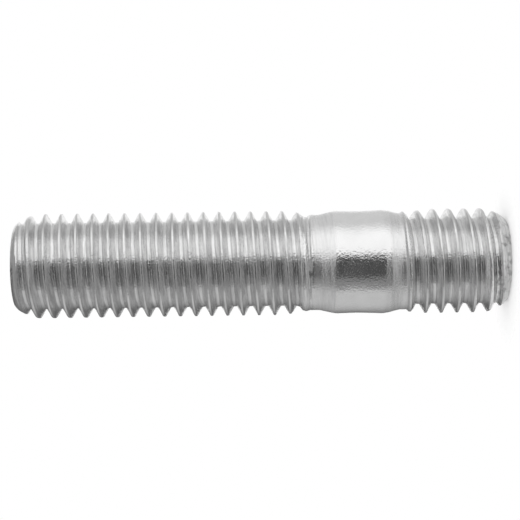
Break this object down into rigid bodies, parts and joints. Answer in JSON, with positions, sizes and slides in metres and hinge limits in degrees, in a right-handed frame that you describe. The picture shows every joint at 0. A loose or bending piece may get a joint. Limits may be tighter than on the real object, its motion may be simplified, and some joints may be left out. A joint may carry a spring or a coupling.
{
  "type": "double-ended threaded stud",
  "caption": "Double-ended steel stud with a long rolled thread for a nut, a short rolled thread for a tapped hole, and a plain collar between two necks.",
  "frame": {"origin": "centre of the flat end face of the short thread, on which the stud stands", "axes": "+Z along the stud's axis, from the short thread's end face to the long thread's end face; +X and +Y are radial"},
  "size_m": [0.01, 0.01, 0.0468],
  "materials": {
    "zinc_plated_steel": "bright zinc plating on rolled steel, fine and slightly grainy"
  },
  "bodies": {
    "root": {"stud": "zinc_plated_steel"}
  },
  "joints": []
}
